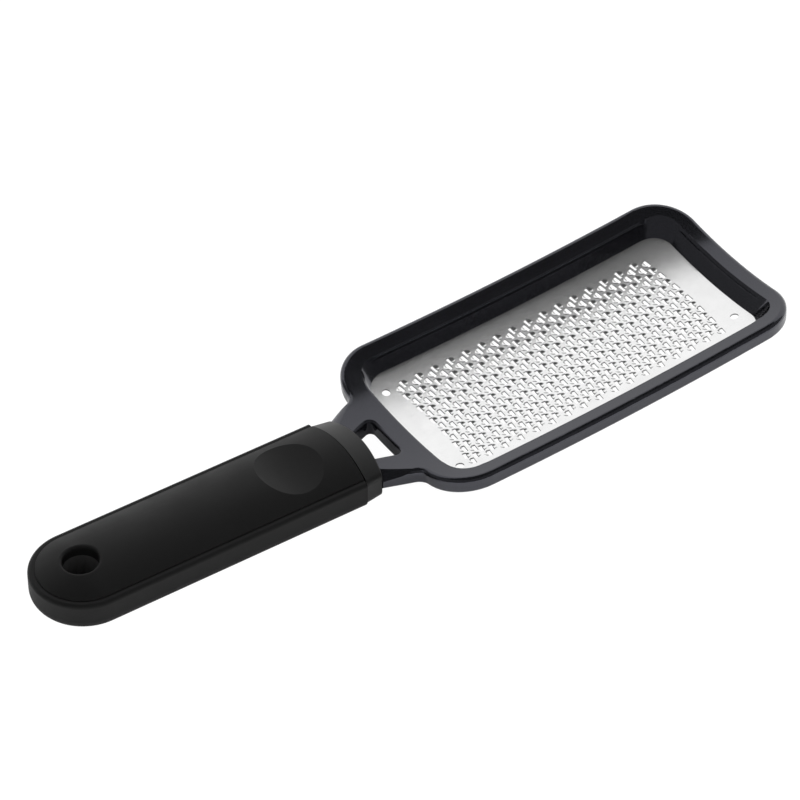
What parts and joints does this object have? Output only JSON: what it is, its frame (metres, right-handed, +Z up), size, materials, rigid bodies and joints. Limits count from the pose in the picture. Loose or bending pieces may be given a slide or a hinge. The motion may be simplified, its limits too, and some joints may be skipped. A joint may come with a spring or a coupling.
{
  "type": "foot file",
  "caption": "Foot file with a dished steel rasp plate in a glossy black frame, a tapered collar and a crowned grip with a thumb scoop and a hanging hole.",
  "frame": {"origin": "middle of the bounding box in plan, at the height of the grip's flat underside", "axes": "+X from the butt of the grip towards the tip of the head, +Z up out of the back of the rasp plate, +Y across"},
  "size_m": [0.262, 0.0732, 0.0219],
  "materials": {
    "grip": "soft-touch, fine grain",
    "core": "plain moulded",
    "collar": "satin",
    "frame": "polished",
    "steel": "satin stainless"
  },
  "bodies": {
    "root": {"grip_shell": "grip", "grip_pad": "grip", "handle_core": "core", "collar": "collar", "head_frame": "frame", "plate_bezel": "frame", "rasp_plate": "steel"}
  },
  "joints": []
}
